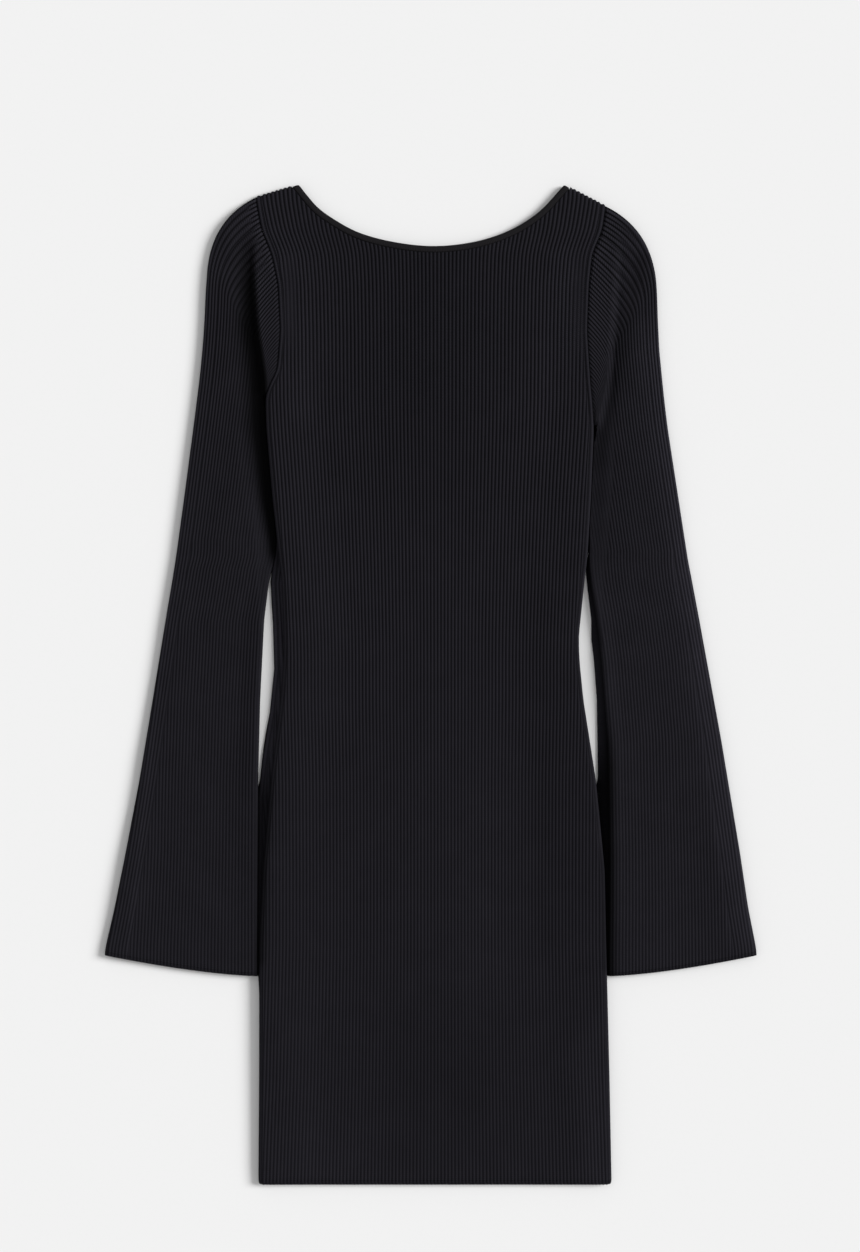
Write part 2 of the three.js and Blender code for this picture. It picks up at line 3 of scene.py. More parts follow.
import bmesh
import bpy
import numpy as np
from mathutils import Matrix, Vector


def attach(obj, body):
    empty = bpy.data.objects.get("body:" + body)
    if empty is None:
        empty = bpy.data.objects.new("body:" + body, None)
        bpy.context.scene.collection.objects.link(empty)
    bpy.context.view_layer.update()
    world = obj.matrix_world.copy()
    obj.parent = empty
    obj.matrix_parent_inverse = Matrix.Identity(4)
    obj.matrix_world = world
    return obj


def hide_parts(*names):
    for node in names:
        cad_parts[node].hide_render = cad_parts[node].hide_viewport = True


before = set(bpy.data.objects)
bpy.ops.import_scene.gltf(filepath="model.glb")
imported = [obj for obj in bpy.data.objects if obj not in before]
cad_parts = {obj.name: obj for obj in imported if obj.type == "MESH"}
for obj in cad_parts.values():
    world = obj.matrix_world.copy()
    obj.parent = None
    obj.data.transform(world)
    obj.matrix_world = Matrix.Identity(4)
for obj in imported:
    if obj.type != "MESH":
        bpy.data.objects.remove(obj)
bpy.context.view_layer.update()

# A black rib-knit bodycon dress with long flared sleeves, laid flat on a pale surface.
# The tables are in millimetres: x across the picture, y towards the neck, z up from the surface.
MM = 0.001

# The cloth.
CLOTH = 1.1  # thickness without the ribs
LEAST_INSIDE_Z = 0.4  # no inner skin lies lower
RIB_HEIGHT = 0.95
UNDER_RIB_HEIGHT = 0.5
RIB_PARTS = 4  # mesh columns in one rib
RIB_SHARPNESS = 1.3
FAINTEST_RIB, RIB_DEEPENING = 0.45, 0.6  # a rib's height at no depth, and what full depth adds
FINE_RIB_LOSS = 0.8  # the share of its height that a rib loses where the ribs lie closer
STARTING_RIB = 0.02  # width of a rib that hasn't started yet, as a share of a full one
COURSE = 1.75  # height of one row of stitches
SEAM_GAP = 0.15
SEAM_DROP = 0.3  # how far the back's edges lie below the front's
SOFTNESS = 8  # how far the corners between a table's rows are rounded

# The body: edges as distances from the middle line, rib spacing, height of the side seam, and the
# cloth's height beside the edges and in the middle.
BODY_COLUMNS = ["y", "left", "right", "rib", "seam", "side", "middle"]
BODY = [
    [-425, 146.6, 153.9, 2.98, 2.6, 5.6, 4.7],
    [-412, 146.6, 153.7, 2.97, 2.8, 6.3, 5.0],
    [-330, 146.0, 152.1, 2.91, 3.0, 7.3, 5.4],
    [-222, 145.9, 149.4, 2.86, 3.2, 7.9, 5.6],
    [-158, 143.0, 148.1, 2.86, 3.4, 8.3, 5.8],
    [-81, 135.9, 140.5, 2.87, 3.6, 8.9, 5.9],
    [-13, 127.7, 129.9, 2.91, 3.8, 9.3, 6.0],
    [20, 125.3, 126.6, 2.91, 3.9, 9.5, 6.1],
    [40, 125.1, 125.9, 2.92, 3.9, 9.5, 6.1],
    [88, 126.9, 130.9, 2.97, 3.9, 9.4, 6.2],
    [106, 128.8, 133.2, 2.99, 3.8, 9.3, 6.2],
    [158, 134.6, 136.3, 3.06, 3.6, 9.1, 6.2],
    [218, 139.9, 138.8, 3.16, 3.5, 8.8, 6.2],
    [244, 140.7, 136.9, 3.19, 3.5, 8.5, 6.1],
    [254, 137.4, 135.8, 3.19, 3.5, 8.3, 6.0],
    [266, 130.6, 135.1, 3.20, 3.5, 8.0, 6.0],
    [300, 127.8, 132.9, 3.21, 3.3, 7.4, 5.8],
    [340, 129.8, 134.4, 3.24, 3.1, 6.8, 5.5],
    [366, 135.2, 137.1, 3.30, 3.0, 6.3, 5.2],
    [386, 143.8, 145.8, 3.50, 2.9, 5.8, 5.0],
    [410, 148.4, 149.2, 3.62, 2.8, 5.3, 4.8],
    [420, 148.5, 149.2, 3.64, 2.8, 5.2, 4.8],
]
STRAIGHT_RIB_X = 8.4  # the ribs spread to both sides of this one, which runs straight down
RIBS_BESIDE = {"left": 54, "right": 50}
BODY_RIBS = sum(RIBS_BESIDE.values())
HEM_Y = -425
SHOULDER_END_Y = {"left": 414.2, "right": 406.6}
UNDERARM_Y = {"left": 244, "right": 218}
SEWN_WITHIN = 12
STRAIGHT_TO_Y = 218  # rows of stitches above this one bend to follow the neckline
TURN = 3.6  # how far the soft turn of the cloth reaches in from a side edge
SWELL = 55  # width over which the thicker sides sink to the middle's height
SHOULDER_TURN = 5
HEM_TURN = 1.2
HEM_CORNER = 4
HEM_CORNER_LENGTH = 16
TOP_REACH = 0.2  # the shoulder line is read this share of its length into the neck

# The neckline's lower edge of the opening, across the picture.
NECKLINE = [
    [-112.4, 425.0], [-104.6, 415.1], [-95.4, 404.9], [-81.1, 394.7], [-62.0, 384.5],
    [-34.0, 376.6], [2.0, 372.6], [37.0, 376.2], [63.8, 384.5], [82.5, 394.7],
    [95.5, 404.9], [105.0, 415.1], [113.6, 424.8],
]
BAND_WIDTH = 5.5
BAND_THICKNESS = 2.7
BAND_STACK = 5.6  # both runs of the band where they lie on each other
BAND_SQUARENESS = 0.7
BAND_FOLD_STEPS = 9
BAND_SLANT = {"left": -0.4, "right": 0.21}  # turns the band's two ends in line with the shoulders
SLANT_REACH = 14
RUN_ON = 8  # the neck's edge goes on straight past its ends

# The sleeves from the shoulder down: edges as distances from the middle line, rib spacing, and the
# cloth's height near the outer edge, in the middle and near the inner edge.
SLEEVE_COLUMNS = ["y", "outer", "inner", "rib", "outside", "centre", "inside"]
SLEEVES = {
    "left": [
        [410, 186.1, 150.0, 2.68, 4.6, 5.0, 5.2],
        [396, 186.1, 150.8, 2.68, 4.6, 5.0, 5.0],
        [357, 189.6, 151.0, 2.68, 4.7, 5.2, 3.9],
        [335, 191.3, 150.0, 2.68, 4.8, 5.3, 3.3],
        [310, 192.4, 148.4, 2.68, 4.8, 5.4, 3.1],
        [293, 193.5, 146.4, 2.68, 4.9, 5.5, 3.1],
        [280, 194.6, 144.4, 2.68, 4.9, 5.5, 3.1],
        [266, 196.0, 142.4, 2.68, 4.9, 5.5, 3.1],
        [254, 197.3, 141.4, 2.68, 5.0, 5.6, 3.1],
        [244, 198.6, 141.1, 2.68, 5.0, 5.6, 3.1],
        [218, 201.9, 140.3, 2.68, 5.1, 5.6, 3.1],
        [158, 209.8, 135.0, 2.68, 5.3, 5.7, 3.1],
        [122, 214.7, 131.1, 2.69, 5.4, 5.8, 3.4],
        [109, 216.5, 131.6, 2.69, 5.4, 5.8, 4.2],
        [88, 219.8, 137.4, 2.70, 5.5, 5.8, 6.2],
        [55, 225.4, 141.6, 2.71, 5.7, 5.8, 7.8],
        [-13, 236.4, 145.0, 2.72, 5.9, 5.8, 8.0],
        [-81, 247.6, 146.7, 2.73, 6.2, 5.8, 7.6],
        [-142, 259.2, 147.0, 2.75, 6.4, 5.7, 7.0],
        [-190, 268.9, 147.0, 2.81, 6.4, 5.5, 6.4],
        [-226, 277.2, 146.8, 2.87, 5.9, 5.2, 5.8],
        [-250, 277.4, 146.8, 2.88, 5.4, 5.0, 5.4],
    ],
    "right": [
        [410, 185.6, 159.0, 2.68, 4.6, 5.0, 5.4],
        [396, 185.6, 158.0, 2.68, 4.6, 5.0, 5.2],
        [357, 190.6, 155.6, 2.68, 4.7, 5.3, 4.6],
        [335, 192.4, 153.5, 2.68, 4.8, 5.5, 4.2],
        [310, 193.2, 151.8, 2.68, 4.8, 5.6, 3.8],
        [284, 194.4, 150.2, 2.68, 4.9, 5.7, 3.5],
        [262, 196.6, 148.4, 2.68, 5.0, 5.8, 3.3],
        [244, 198.4, 145.4, 2.68, 5.0, 5.8, 3.2],
        [228, 200.3, 141.6, 2.68, 5.0, 5.8, 3.2],
        [218, 201.5, 139.6, 2.68, 5.1, 5.8, 3.2],
        [158, 210.7, 136.7, 2.68, 5.3, 5.8, 3.3],
        [106, 218.7, 133.8, 2.69, 5.5, 5.8, 5.0],
        [88, 222.2, 135.4, 2.70, 5.6, 5.8, 6.4],
        [55, 228.4, 140.9, 2.71, 5.7, 5.8, 7.6],
        [21, 234.6, 145.2, 2.72, 5.8, 5.8, 8.0],
        [-47, 247.0, 150.3, 2.73, 6.1, 5.8, 7.8],
        [-142, 262.8, 151.8, 2.75, 6.4, 5.7, 7.0],
        [-190, 270.0, 151.6, 2.79, 6.4, 5.5, 6.4],
        [-226, 277.2, 151.2, 2.82, 5.9, 5.2, 5.8],
        [-250, 277.4, 151.2, 2.83, 5.4, 5.0, 5.4],
    ],
}
SLEEVE_RIBS = {"edge": 3, "first": 4, "line": 12, "rest": 27}  # from the outer edge inwards
SLEEVE_EDGE_Z = 2.6
SLEEVE_TURN = 4
CUFF_Y = -230.1
CUFF_DROP = 17.8
CUFF_BEND = 1.5
SHOULDER_SLOPE = 26  # degrees that the first ribs fall by as they leave the armhole
ARM_SLOPE = 45  # the same for the ribs lower down
SLOPING_RIBS = 10
FIRST_BEND = 44  # how far below its corner a rib has finished turning down
LATER_BEND = 12
FOLD_TOP_Y = 392  # the fold beside the armhole fades out up to here
FOLD_FULL_Y = 350
FOLD_WIDTH = {"left": 3.2, "right": 9}
VALLEY_RISE = {"left": 20, "right": 15}  # width over which the sleeve rises again beside the fold
OUTER_RISE = 34  # width over which the sleeve rises from its outer edge
PATCH_RISE = 0.5  # how far the cloth between fold and seam bulges
PATCH_SOFTNESS = 1.6
PATCH_FADE = 10  # length over which that cloth begins above the underarm

# How deep the ribs are at each height, from 0 to 1, which also sets how strongly their valleys are
# painted darker.
BODY_DEPTHS = [
    [-425, 0.42], [-250, 0.45], [-100, 0.55], [40, 0.75], [160, 0.9], [300, 1.0], [420, 1.0],
]
SLEEVE_DEPTHS = [[-250, 0.38], [0, 0.42], [120, 0.55], [220, 0.75], [330, 0.9], [420, 0.9]]
SEAM_DIP = 0.6
SEAM_DIP_WIDTH = 1.4

# The zones beside the armholes where the knit is nearly plain.
PLAIN_X = {"left": -119, "right": 126}
PLAIN_HALF = {"left": 6, "right": 5}
PLAIN_Y, PLAIN_LENGTH = 324, 40
PLAINNESS = 0.75

# Widths at each height of the low flat strip of a sleeve beside the fold at its armhole.
LOW_STRIP = {
    "left": [[100, 0], [122, 4], [158, 7], [218, 8], [293, 7.5], [320, 5], [358, 0]],
    "right": [[0, 0], [400, 0]],
}

# Dark strips of a lower layer that show past the upper one in the gaps between body and sleeves,
# standing in for the deep shadow there: their width at each height, as far as there is room.
BACK_SHADOW_STRIPS = {
    "left": [[-244, 30], [-98, 30], [-82, 9.5], [-47, 9.8], [-13, 7.2], [4, 7.2], [38, 8.5], [72, 9.5],
             [100, 9.5], [112, 30], [222, 30], [230, 0]],
    "right": [[112, 0], [118, 30], [214, 30], [224, 0]],
}
UNDER_SHADOW_STRIPS = {
    "left": [[-250, 0], [400, 0]],
    "right": [[-98, 30], [-82, 9.4], [-47, 9.2], [-30, 8.3], [-13, 7.2], [38, 7.2], [55, 5.0],
              [100, 3], [112, 0]],
}
PEEK_TO = -246
PEEK_REACH = 25  # how far in from its edge a lower layer is stretched for this
PEEK_UNDER = {"back": 0.3, "sleeve": 1.2}  # how far it reaches under the piece beside it
GAP_STRIP_LIGHT = 1.6  # how much lighter the strip is painted, for the half-lit shadow on the floor of the wider gaps
PEEK_FULL_TONE = 5  # where it shows this far or farther
PEEK_DARK_Y, PEEK_FADE = -90, 40  # the gaps are too deep for light below here

# The sleeve's ribs lie closer beside the armhole seam: how far from it, how soon above the place
# where they turn to it, from which distance and up to which height.
FINE_REACH = {"left": 10, "right": 42}
FINE_RAMP = {"left": 40, "right": 3.5}
FINE_FROM = 3
FINE_TOP_Y, FINE_FADE = 365, 25
FINE = 1.6  # how many times closer
# where the ribs lie closer, their painted valley shade is this much stronger
FINE_STRENGTH = 1.1

# The shade in the deep valley beside the left armhole's fold: height, darkness and width.
SHADE_CENTRE = 0.4  # as a share of its width
SHADE_EDGE, SHADE_SOFTNESS = 4, 2
LEAST_TONE = 0.08
FOLD_SHADE = {
    "left": [
        [100, 0, 4], [112, 0.9, 5], [160, 1.05, 9], [218, 1.1, 12], [300, 1.1, 12], [340, 0.95, 10],
        [372, 0.5, 8], [392, 0, 7],
    ],
    "right": [[100, 0, 4], [392, 0, 4]],
}

# Soft creases and swellings: points [x, y, height] on a line, negative for a trough, and its width.
CREASES = {
    "front": [
        ([[-100, 66, 0.5], [-28, 84, 0.5]], 7), ([[-112, 52, -0.4], [-60, 57, -0.4]], 6),
        ([[-90, 92, -0.4], [-40, 108, -0.4]], 8), ([[60, 58, -0.35], [110, 48, -0.35]], 8),
        ([[70, 86, 0.35], [118, 80, 0.35]], 7), ([[-96, 196, -0.35], [-104, 150, -0.35]], 9),
        ([[104, 210, -0.35], [98, 150, -0.35]], 9), ([[-60, 20, 0.3], [10, 10, 0.3]], 12),
        ([[-106, 350, 0.45], [-112, 260, 0.45]], 8), ([[110, 352, 0.45], [112, 262, 0.45]], 8),
        ([[-125, -300, 0.6], [-110, -410, 0.6]], 14), ([[120, -310, 0.5], [128, -405, 0.5]], 14),
        ([[-10, -330, -0.4], [20, -345, -0.4]], 30), ([[-70, -150, -0.35], [-80, -200, -0.35]], 16),
        ([[60, -190, -0.35], [75, -260, -0.35]], 18),
    ],
    "sleeve": [
        ([[168, 330, 0.4], [176, 250, 0.4]], 7), ([[186, 170, -0.4], [200, 60, -0.4]], 9),
        ([[165, 200, 0.35], [170, 120, 0.35]], 9), ([[205, -20, 0.4], [222, -120, 0.4]], 12),
        ([[176, -60, -0.4], [180, -170, -0.4]], 12), ([[240, -120, 0.4], [256, -200, 0.4]], 9),
        ([[168, 66, 0.4], [186, 52, 0.4]], 8),
    ],
}
# Painted light and shade, as a share of the cloth's own tone: points [x, y, change] on a line, and its
# width.
# Lighter strokes are painted light where the lamp from the right falls, darker ones painted shade.
PAINTED_LIGHT_AND_SHADE = {
    "front": [
        # Painted shade over the chest, lighter strokes beside the armholes.
        ([[-13, 345, -0.17], [-13, 215, -0.15]], 68), ([[-118, 361, 0.16], [-109, 228, 0.12]], 11),
        ([[112, 361, 0.16], [92, 219, 0.14]], 13), ([[97, -55, -0.1], [97, -225, -0.1]], 12),
        ([[45, -60, 0.07], [45, -240, 0.1]], 22), ([[0, -320, -0.14], [0, -345, -0.14]], 55),
        ([[-112, -396, 0.12], [-80, -400, 0.12]], 28), ([[140, -290, 0.12], [141, -425, 0.25]], 14),
        # Painted shade in the crevices between the body's sides and the cuffs.
        ([[-134, -62, -0.1], [-138, -110, -0.5], [-141.5, -150, -0.6], [-144.5, -236, -0.5]], 4.5),
        ([[141, -66, -0.1], [147, -130, -0.4], [149, -240, -0.4]], 3),
    ],
    "left": [
        ([[134, 340, -0.1], [134, 250, -0.1]], 9), ([[190, 340, 0.08], [222, 60, 0.1]], 14),
        ([[219, 100, 0.2], [257, -225, 0.2]], 2.6), ([[230, -60, 0.06], [270, -225, 0.06]], 16),
        # Painted shade in the crevice along the sleeve's inner edge at the cuff.
        ([[147, -70, -0.1], [147, -120, -0.5], [147, -245, -0.5]], 2.5),
    ],
    "right": [
        # Painted light along the right sleeve's outer part, where the lamp from the right falls.
        ([[192, 320, 0.2], [195, 287, 0.8], [222, 100, 0.95], [246, -40, 0.75], [273, -225, 0.5]], 17),
        # Painted shade in the valley beside the armhole's fold, and a lighter line down the sleeve.
        ([[179, 360, -0.34], [142, 188, -0.3]], 7.5), ([[218, 100, 0.12], [255, -225, 0.12]], 2.6),
        ([[180, 60, 0.1], [200, -225, 0.12]], 40),
        # Painted shade in the crevice along the sleeve's inner edge at the cuff.
        ([[149, -20, -0.1], [151.5, -70, -0.85], [152, -245, -0.85]], 6),
    ],
}
SLOW_WAVE, QUICK_WAVE = 0.1, 0.05
CREASE_DEPTH = 20  # the creases fade out this close to the sides

# What each vertex tells its material: its painted light and shade as a share of the cloth's tone, how
# deep its ribs are, which sets how strongly their valleys are painted darker, and whether they lie
# closer.
MARKS = ("tone", "ribbing", "fine")

# Mesh rows and columns.
BODY_ROWS = 168
BACK_ROWS = 100
SLEEVE_BEND_ROWS = 36
SLEEVE_ROWS = 128
BAND_STEPS = 280
BAND_SIDES = 16
NECK_STEPS = 220
SETTLING_TRIES = 40
TOP_STEP, CORNER_STEP = 0.6, 0.7  # the share of a correction that one try makes
CORNER_GUESS = 20

# Lengths along which the stitches are counted.
BODY_LENGTH = 839.0
SLEEVE_LENGTH = 650.0
BAND_LENGTH = 560.0
START_LENGTH = 3.6  # the start-up rows at the hem and the cuffs
START_COURSE = 1.1
BAND_STITCH = 1.5

# Colours, light and camera.
BLACK_DARK = (0.0006, 0.0006, 0.0008, 1.0)
BLACK_LIGHT = (0.0194, 0.0184, 0.0240, 1.0)
BAND_DARK = (0.0060, 0.0056, 0.0064, 1.0)
BAND_LIGHT = (0.0130, 0.0120, 0.0136, 1.0)
PAPER_DARK = (0.795, 0.795, 0.795, 1.0)
PAPER_LIGHT = (0.805, 0.805, 0.805, 1.0)
ROOM_LIGHT = 0.52
KEY_LIGHT = 3.7
KEY_ELEVATION = 30  # degrees above the surface
KEY_TURN = 12  # degrees round from the right towards the neck
KEY_SPREAD = 26
LENS, SENSOR = 85, 36
CAMERA_AT = (-0.0006, 0.0496, 2.517)


def ease(share):
    return 0.5 - 0.5 * np.cos(np.pi * np.clip(share, 0, 1))


def turn(share):
    return np.sqrt(1 - (1 - np.clip(share, 0, 1)) ** 2)


def mix(low, high, share):
    return low + (high - low) * share


class Table:
    """A table's columns, read at any height and rounded softly between its rows."""

    def __init__(self, names, rows):
        rows = np.array(sorted(rows), float)
        self.y = np.arange(rows[0, 0], rows[-1, 0] + 1)
        reach = 2 * SOFTNESS
        kernel = np.exp(-0.5 * (np.arange(-reach, reach + 1) / (0.5 * SOFTNESS)) ** 2)
        kernel /= kernel.sum()
        self.columns = {}
        for name, values in zip(names[1:], rows[:, 1:].T):
            line = np.interp(self.y, rows[:, 0], values)
            before = 2 * line[0] - line[reach:0:-1]
            after = 2 * line[-1] - line[-2:-reach - 2:-1]
            self.columns[name] = np.convolve(np.concatenate([before, line, after]), kernel, "valid")

    def at(self, name, y):
        return np.interp(y, self.y, self.columns[name])


body = Table(BODY_COLUMNS, BODY)
sleeves = {name: Table(SLEEVE_COLUMNS, rows) for name, rows in SLEEVES.items()}


def rib_starts(widths):
    """Where each mesh column lies across the ribs, from 0 to 1. Rows are heights, columns are ribs."""
    starts = np.concatenate([np.zeros((len(widths), 1)), np.cumsum(widths, 1)], 1)
    parts = np.arange(RIB_PARTS) / RIB_PARTS
    inside = (starts[:, :-1, None] + widths[:, :, None] * parts).reshape(len(widths), -1)
    return np.concatenate([inside, starts[:, -1:]], 1) / starts[:, -1:]


def rib_rise(started):
    """How far each mesh column stands out, as a share of the rib's height."""
    shape = np.sin(np.pi * np.arange(RIB_PARTS) / RIB_PARTS) ** RIB_SHARPNESS
    rise = (started[:, :, None] * shape).reshape(len(started), -1)
    return np.concatenate([rise, np.zeros((len(started), 1))], 1)


def rib_height(fullest, ribbing):
    return fullest * (FAINTEST_RIB + RIB_DEEPENING * ribbing)


class Columns:
    """Mesh columns of a piece: their places across it and their rise, kept at every millimetre."""

    def __init__(self, heights, widths, started):
        self.low = heights[0]
        self.places = rib_starts(widths)
        self.rises = rib_rise(started)
        self.count = self.places.shape[1]

    def read(self, kept, column, y):
        row = np.clip(y - self.low, 0, len(kept) - 1.001)
        whole = row.astype(int)
        return mix(kept[whole, column], kept[whole + 1, column], row - whole)

    def place(self, column, y):
        return self.read(self.places, column, y)

    def rises_at(self, y):
        return self.read(self.rises, np.broadcast_to(np.arange(self.count), y.shape), y)


def body_columns():
    """The body's ribs. On each side they are decreased beside the outermost one."""
    y = np.arange(HEM_Y, 431.0)
    halves = []
    for name, straight in (("left", STRAIGHT_RIB_X), ("right", -STRAIGHT_RIB_X)):
        room = body.at(name, y) + straight
        missing = RIBS_BESIDE[name] - room / body.at("rib", y)
        started = np.clip(np.arange(RIBS_BESIDE[name]) - missing[:, None], STARTING_RIB, 1)
        started[:, 0] = 1
        widths = started * (room / started.sum(1))[:, None]
        halves.append((started, widths) if name == "left" else (started[:, ::-1], widths[:, ::-1]))
    started, widths = (np.concatenate(both, 1) for both in zip(*halves))
    return Columns(y, widths, started)


def ribs_across(name, y):
    """How many ribs fit across a sleeve."""
    table = sleeves[name]
    return (table.at("outer", y) - table.at("inner", y)) / table.at("rib", y)


def sleeve_columns(name):
    y = np.arange(-256.0, 411.0)
    widths = sleeve_widths(ribs_across(name, y))
    return Columns(y, widths, widths)


def sleeve_widths(count):
    """The widths of a sleeve's ribs where `count` of them fit across."""
    edge, first, line, rest = SLEEVE_RIBS.values()
    added = np.maximum(0, count - first - rest)[:, None]
    at_edge = added * edge / (edge + line) - np.arange(edge)[::-1]
    at_line = added * line / (edge + line) - np.arange(line)[::-1]
    others = count[:, None] - first - np.arange(rest)
    parts = [at_edge, np.ones((len(count), first)), at_line, others]
    return np.clip(np.concatenate(parts, 1), STARTING_RIB, 1)


def neck_curve():
    """The neckline as a dense smooth line: points, directions and distances along it."""
    points = [np.array(p, float) for p in NECKLINE]
    points = [2 * points[0] - points[1]] + points + [2 * points[-1] - points[-2]]
    line = []
    for a, b, c, d in zip(points, points[1:], points[2:], points[3:]):
        knots = np.cumsum([0] + [np.sqrt(np.linalg.norm(q - p)) for p, q in ((a, b), (b, c), (c, d))])
        t = np.linspace(knots[1], knots[2], 40, endpoint=False)[:, None]
        ab = a + (b - a) * (t - knots[0]) / (knots[1] - knots[0])
        bc = b + (c - b) * (t - knots[1]) / (knots[2] - knots[1])
        cd = c + (d - c) * (t - knots[2]) / (knots[3] - knots[2])
        abc = ab + (bc - ab) * (t - knots[0]) / (knots[2] - knots[0])
        bcd = bc + (cd - bc) * (t - knots[1]) / (knots[3] - knots[1])
        line.append(abc + (bcd - abc) * (t - knots[1]) / (knots[2] - knots[1]))
    line = np.concatenate(line + [points[-2][None]])
    length = np.linalg.norm(np.diff(line, axis=0), axis=1).sum()
    before, after = line[0] - line[1], line[-1] - line[-2]
    line = np.concatenate([[line[0] + RUN_ON * before / np.linalg.norm(before)], line,
                           [line[-1] + RUN_ON * after / np.linalg.norm(after)]])
    reached = np.concatenate([[0], np.cumsum(np.linalg.norm(np.diff(line, axis=0), axis=1))]) - RUN_ON
    return line, reached, length


NECK_LINE, NECK_REACHED, NECK_LENGTH = neck_curve()


def beside_neck(distance, out):
    """Points beside the neckline, `out` into the cloth, and the line's direction there."""
    point = np.stack([np.interp(distance, NECK_REACHED, NECK_LINE[:, i]) for i in range(2)], -1)
    ahead = np.stack([np.interp(distance + 1, NECK_REACHED, NECK_LINE[:, i]) for i in range(2)], -1)
    behind = np.stack([np.interp(distance - 1, NECK_REACHED, NECK_LINE[:, i]) for i in range(2)], -1)
    along = ahead - behind
    along /= np.linalg.norm(along, axis=-1, keepdims=True)
    away = np.stack([along[..., 1], -along[..., 0]], -1)
    return point + away * np.asarray(out)[..., None], along


def neck_edge():
    along = np.linspace(-RUN_ON, NECK_LENGTH + RUN_ON, NECK_STEPS)
    return beside_neck(along, BAND_WIDTH + SEAM_GAP)[0]


NECK_EDGE = neck_edge()


def top_edge(x):
    """The top edge of the front and back across the picture, and the shoulder's own line."""
    shoulder = np.full(x.shape, 1e3)
    for side, tip in (("left", NECKLINE[0]), ("right", NECKLINE[-1])):
        end = body.at(side, SHOULDER_END_Y[side])
        outward = (np.abs(x) - abs(tip[0])) / (end - abs(tip[0]))
        there = (np.sign(x) == np.sign(tip[0])) & (outward > -TOP_REACH)
        shoulder = np.where(there, mix(tip[1], SHOULDER_END_Y[side], outward), shoulder)
    neck = np.interp(x, NECK_EDGE[:, 0], NECK_EDGE[:, 1], left=1e3, right=1e3)
    return np.minimum(shoulder, neck), shoulder


def across_front(share, y):
    """The front's surface under its ribs, at a share of the way from left to right."""
    side, middle, seam = (body.at(name, y) for name in ("side", "middle", "seam"))
    outlines, lows = [], []
    for name in ("left", "right"):
        sewn = ease((y - UNDERARM_Y[name]) / SEWN_WITHIN)
        outlines.append(body.at(name, y) - mix(0.1, 0.5 * SEAM_GAP, sewn))
        lows.append(mix(seam, side, sewn))
    x = mix(-outlines[0], outlines[1], share)
    depth = np.minimum(x + outlines[0], outlines[1] - x)
    low = np.where(x + outlines[0] < outlines[1] - x, *lows)
    crest = mix(side, middle, ease((depth - TURN) / SWELL))
    return x, mix(low, crest, turn(depth / TURN)), depth


def body_places(columns, rows):
    """The body's mesh columns and rows: height, x, z and depth from the edge."""
    column = np.arange(columns.count)
    top = np.full(columns.count, float(STRAIGHT_TO_Y))
    for _ in range(SETTLING_TRIES):
        x, _, _ = across_front(columns.place(column, top), top)
        top = mix(top, top_edge(x)[0], TOP_STEP)
    level = rows[:, None] * np.ones(columns.count)
    bent = mix(STRAIGHT_TO_Y, top, (level - STRAIGHT_TO_Y) / (rows[-1] - STRAIGHT_TO_Y))
    y = np.where(level <= STRAIGHT_TO_Y, level, bent)
    share = columns.place(np.broadcast_to(column, y.shape), y)
    x, z, depth = across_front(share, y)
    return y, x, z, depth


def sewn_side(x, y):
    """How far the side edge is sewn to a sleeve: 0 below the underarm and 1 above it."""
    return ease((y - np.where(x < 0, UNDERARM_Y["left"], UNDERARM_Y["right"])) / SEWN_WITHIN)


def hem_corner(y, depth):
    """How far the hem is raised to round its corners."""
    return HEM_CORNER * (1 - turn(depth / HEM_CORNER)) * (1 - ease((y - HEM_Y) / HEM_CORNER_LENGTH))


def body_rows(count):
    """Levels of the body's mesh rows, closer together at the hem and at the top edge."""
    last = SHOULDER_END_Y["left"]
    ends = [0, 0.4, 0.9, 1.6, 3.0]
    middle = np.linspace(6, last - HEM_Y - 6, count + 1 - 2 * len(ends))
    return HEM_Y + np.concatenate([ends, middle, (last - HEM_Y) - np.array(ends[::-1])])


def strokes(table, x, y):
    """What a table of soft strokes adds up to at places in plan."""
    total = np.zeros(x.shape)
    for points, width in table:
        nearest, change = np.full(x.shape, np.inf), np.zeros(x.shape)
        for (x0, y0, start), (x1, y1, end) in zip(points, points[1:]):
            run = np.array([x1 - x0, y1 - y0], float)
            share = np.clip(((x - x0) * run[0] + (y - y0) * run[1]) / (run @ run), 0, 1)
            away = np.hypot(x - x0 - share * run[0], y - y0 - share * run[1])
            change = np.where(away < nearest, mix(start, end, share), change)
            nearest = np.minimum(away, nearest)
        total += change * np.exp(-((nearest / width) ** 2))
    return total


def relief(creases, x, y):
    """The height that creases and a slow unevenness add at places in plan."""
    wander = np.sin(x / 23 + 1.3 * np.sin(y / 61)) * np.sin(y / 47 + 0.8 * np.sin(x / 35) + 0.7)
    ripple = np.sin(x / 11 + y / 31) * np.sin(y / 19 - x / 41)
    return strokes(creases, x, y) + SLOW_WAVE * wander + QUICK_WAVE * ripple


def outward(places, closed=False):
    """Unit directions square to a surface: up where its columns run right and its rows up."""
    ahead = np.gradient(places, axis=0)
    across = np.gradient(places, axis=1)
    if closed:
        across[:, 0] = across[:, -1] = places[:, 1] - places[:, -2]
    square = np.cross(across, ahead)
    return square / np.maximum(np.linalg.norm(square, axis=-1, keepdims=True), 1e-9)


def new_piece():
    bm = bmesh.new()
    bm.loops.layers.uv.new("UVMap")
    for mark in MARKS:
        bm.verts.layers.float.new(mark)
    return bm


